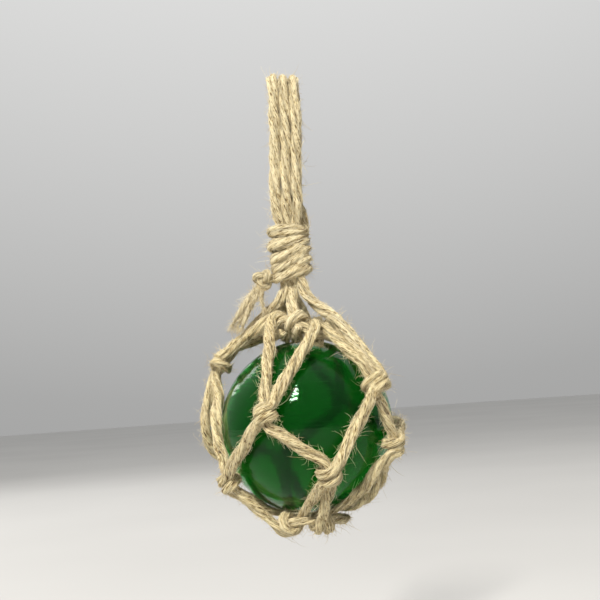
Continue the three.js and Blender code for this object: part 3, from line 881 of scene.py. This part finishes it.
HANGER = jute("jute_hanger", (0.91, 0.81, 0.54), (0.73, 0.60, 0.335), (0.45, 0.33, 0.155), (0.09, 0.055, 0.024))
NET = jute("jute_net", (0.89, 0.78, 0.48), (0.68, 0.545, 0.285), (0.41, 0.29, 0.125), (0.075, 0.045, 0.02))
HANGER_HAIR = hair("jute_hanger_hair", (0.45, 0.33, 0.16), (0.95, 0.88, 0.64))
NET_HAIR = hair("jute_net_hair", (0.40, 0.29, 0.13), (0.92, 0.83, 0.58))
GLASS = glass()

# ------------------------------------------------------------------ the ropes
PER_MM = 4.2
pieces, rope_of = {}, {}
for number, (name, route) in enumerate(ROUTES.items()):
    hanging = name.startswith("hanger")
    rope = Rope(route, 100 + number)
    verts, quads, tris, uv, groove_shade = rope.mesh()
    o = make_object(name + "_rope", verts, quads, tris, HANGER if hanging else NET, uv=uv, values={"groove_shade": groove_shade})
    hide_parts(name)
    f = Fibres()
    fuzz(rope, f, PER_MM, 300 + number)
    slivers(rope, f, 0.8, 500 + number)
    for end, way in ((0, -1), (-1, 1)):
        if "ring" not in name and not (name == "hanger_rope_right" and end == 0):
            tuft(f, rope.p[end], rope.t[end] * way, 46, 5.5, 0.55, 0.1, 700 + number * 2 + end, size=rope.r[end] * 0.8)
    h = f.make(name + "_fuzz", HANGER_HAIR if hanging else NET_HAIR)
    pieces[name], rope_of[name] = (o, [h]), rope

# ------------------------------------------------------------------ the stopper knot and the frayed tail
def trefoil(centre, size, tube, turn_to, n=44):
    """An overhand knot drawn up tight, as one closed curve's open run."""
    x, y, z = (unit(a) for a in turn_to)
    out = []
    for i in range(n + 1):
        t = 2 * pi * (0.02 + 0.96 * i / n)
        q = np.array([sin(t) + 2 * sin(2 * t), cos(t) - 2 * cos(2 * t), -1.35 * sin(3 * t)]) * size
        out.append((centre + q[0] * x + q[1] * y + q[2] * z, tube))
    return out


tail_fibres = Fibres()
k_route = trefoil(STOPPER, 2.0, 2.55, ((0.90, -0.30, 0.31), (-0.25, 0.10, 0.96), (0.32, 0.94, 0.02)))
knot = Rope(k_route, 41, swell=1.0, around=22, step=0.9, pitch=26.0, plies=3, offset=0.40, ply=0.62, rough=1.3)
parts = [knot]
for seed, route in ((42, [((-26.6, -8.2, -152.4), 1.9), ((-31.6, -9.0, -157.2), 1.7), ((-36.6, -9.6, -162.6), 1.6),
                          ((-42.4, -10.0, -170.0), 1.4), ((-49.6, -10.2, -181.6), 0.8)]),
                    (43, [((-25.8, -8.4, -152.6), 1.9), ((-29.4, -9.4, -158.8), 1.8), ((-34.8, -10.6, -167.4), 1.7),
                          ((-39.6, -11.2, -176.8), 1.4), ((-43.0, -11.2, -185.0), 0.8)]),
                    (44, [((-24.8, -8.8, -152.8), 1.8), ((-26.6, -9.8, -158.8), 1.5), ((-27.0, -10.6, -165.0), 1.2),
                          ((-25.8, -11.0, -171.4), 0.7)]),
                    (45, [((-26.2, -7.6, -152.8), 1.6), ((-30.6, -7.8, -158.6), 1.4), ((-36.4, -8.2, -165.8), 1.3),
                          ((-41.6, -8.6, -174.6), 1.1), ((-46.4, -8.8, -183.6), 0.6)])):
    parts.append(Rope([(np.array(p, float), r) for p, r in route], seed, swell=1.0, around=18, step=0.9, pitch=30.0,
                      plies=4, offset=0.26, ply=0.76, rough=1.6))
made = []
for number, rope in enumerate(parts):
    verts, quads, tris, uv, groove_shade = rope.mesh()
    o = make_object("stopper_knot" if number == 0 else "tail_ply_%d" % number, verts, quads, tris, HANGER, uv=uv, values={"groove_shade": groove_shade})
    made.append(o)
    fuzz(rope, tail_fibres, 3.5 if number == 0 else 9.0, 900 + number, median=3.0 if number == 0 else 4.5, longest=12.0)
    slivers(rope, tail_fibres, 1.0 if number == 0 else 3.0, 950 + number, radius=0.2)
    if number:
        tuft(tail_fibres, rope.p[-1], rope.t[-1], 60, 8.0, 0.35, 0.11, 980 + number, size=1.2)
h = tail_fibres.make("tail_fuzz", HANGER_HAIR)
pieces["hanger_rope_right"][1].extend(made + [h])

# a few long hairs that stand up from the loop
top = Fibres()
for number, (base, tip) in enumerate((((-10.5, -2.0, 4.4), (-16.2, -2.5, 16.8)), ((-8.6, 0.5, 5.0), (-8.8, 0.0, 17.2)),
                                      ((-9.6, -3.0, 4.6), (-12.0, -5.0, 13.2)), ((4.5, -2.0, 3.6), (12.8, -4.0, 6.4)),
                                      ((-2.0, 1.0, 4.2), (0.8, 1.5, 9.6)))):
    base, tip = np.array(base), np.array(tip)
    t = np.linspace(0, 1, 6)[:, None]
    side = unit(np.cross(tip - base, [0.2, 0.9, 0.3]))
    pts = base + (tip - base) * t + side * (np.sin(t * pi) * (0.5 + 0.2 * number))
    top.add(pts[None], np.array([[0.14, 0.13, 0.12, 0.10, 0.08, 0.05]]), np.array([0.85]))
h = top.make("loop_hairs", HANGER_HAIR)
pieces["hanger_rope_left"][1].append(h)

# ------------------------------------------------------------------ the free ropes of the hanger
for name, far in (("hanger_rope_left", "object"), ("hanger_rope_middle", "object"), ("hanger_rope_right", "knot")):
    o, extra = pieces[name]
    rope = rope_of[name]
    line = rope.p / 1000.0
    length = float(np.linalg.norm(np.diff(line, axis=0), axis=1).sum())
    if name == "hanger_rope_right":
        length += 0.040

# ------------------------------------------------------------------ the glass
def shell():
    """The ball's outer and inner surfaces, slightly uneven as blown glass is."""
    rng = np.random.default_rng(5)
    waves = [(rng.standard_normal(3) * f, rng.uniform(0, 6.28), a) for f, a in ((2.2, 1.0), (3.1, 0.8), (4.3, 0.5), (6.0, 0.3))]
    verts, quads, tris = [], [], []
    for radius, across, down, depth, flip in ((BALL_R, 176, 88, 0.10, False), (BALL_R - 3.1, 128, 64, 0.45, True)):
        base = len(verts) and sum(len(v) for v in verts)
        th = np.arange(1, down) * pi / down
        ph = np.arange(across) * 2 * pi / across
        d = np.stack([np.sin(th)[:, None] * np.cos(ph), np.sin(th)[:, None] * np.sin(ph), np.repeat(np.cos(th)[:, None], across, 1)], -1).reshape(-1, 3)
        d = np.vstack([d, [0, 0, 1.0], [0, 0, -1.0]])
        w = sum(a * np.sin(d @ f + p) for f, p, a in waves) / 2.6
        verts.append(CENTRE + d * (radius - depth * (0.5 + 0.5 * w))[:, None])
        i, j = np.meshgrid(np.arange(down - 2), np.arange(across), indexing="ij")
        k = (j + 1) % across
        q = np.stack([i * across + j, (i + 1) * across + j, (i + 1) * across + k, i * across + k], -1).reshape(-1, 4)
        a = np.arange(across)
        b = (a + 1) % across
        n, s = (down - 1) * across, (down - 1) * across + 1
        t = np.vstack([np.stack([np.full(across, n), a, b], -1), np.stack([np.full(across, s), (down - 2) * across + b, (down - 2) * across + a], -1)])
        if flip:
            q, t = q[:, ::-1], t[:, ::-1]
        quads.append(q + base)
        tris.append(t + base)
    o = make_object("glass_shell", np.vstack(verts), np.vstack(quads), np.vstack(tris), GLASS)
    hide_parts("glass_ball")
    return o


shell()

# ------------------------------------------------------------------ floor and light
def make_floor():
    n, r, z = 96, 14.0, -0.47
    me = bpy.data.meshes.new("floor")
    pts = [(0, 0, z)] + [(r * cos(2 * pi * i / n), r * sin(2 * pi * i / n), z) for i in range(n)]
    me.from_pydata(pts, [], [(0, 1 + i, 1 + (i + 1) % n) for i in range(n)])
    me.materials.append(floor_material())
    o = bpy.data.objects.new("floor", me)
    scene.collection.objects.link(o)


def area(name, place, size, power, colour, target=(0.0, 0.0, -0.2)):
    data = bpy.data.lights.new(name, "AREA")
    data.shape, data.size, data.energy, data.color = "DISK", size, power, colour
    o = bpy.data.objects.new(name, data)
    scene.collection.objects.link(o)
    back = unit(np.array(place, float) - np.array(target, float))
    x = unit(np.cross([0, 0, 1.0], back))
    y = np.cross(back, x)
    m = Matrix.Identity(4)
    for i in range(3):
        m[i][0], m[i][1], m[i][2], m[i][3] = x[i], y[i], back[i], place[i]
    o.matrix_world = m


make_floor()
area("key", (-0.96, -2.72, 2.50), 0.80, 228.0, (1.0, 0.965, 0.90))
area("back", (-1.3, 2.0, 1.2), 1.6, 22.0, (1.0, 0.98, 0.95))
world = bpy.data.worlds.new("studio")
scene.world = world
world.use_nodes = True
tree = world.node_tree
background = tree.nodes["Background"]
coord = tree.nodes.new("ShaderNodeTexCoord")
split = tree.nodes.new("ShaderNodeSeparateXYZ")
shade = tree.nodes.new("ShaderNodeValToRGB")
# dim in front, where the glass mirrors it, fainter at the horizon behind and bright overhead
up = tree.nodes.new("ShaderNodeMath")
up.operation = "MULTIPLY_ADD"
up.inputs[1].default_value, up.inputs[2].default_value = 0.45, 0.5
across = tree.nodes.new("ShaderNodeMath")
across.operation = "MULTIPLY_ADD"
across.inputs[1].default_value = 0.225
stops = shade.color_ramp.elements
stops[0].position, stops[0].color = 0.2, (0.12, 0.121, 0.123, 1)
stops[1].position, stops[1].color = 0.95, (1.0, 1.0, 0.99, 1)
for at, level in ((0.45, 0.22), (0.725, 0.47)):
    stops.new(at).color = (level, level, level * 0.99, 1)
tree.links.new(coord.outputs["Generated"], split.inputs[0])
tree.links.new(split.outputs[2], up.inputs[0])
tree.links.new(split.outputs[1], across.inputs[0])
tree.links.new(up.outputs[0], across.inputs[2])
tree.links.new(across.outputs[0], shade.inputs[0])
tree.links.new(shade.outputs[0], background.inputs[0])
background.inputs[1].default_value = 0.85
scene.view_settings.view_transform = "Standard"
scene.view_settings.look = "None"
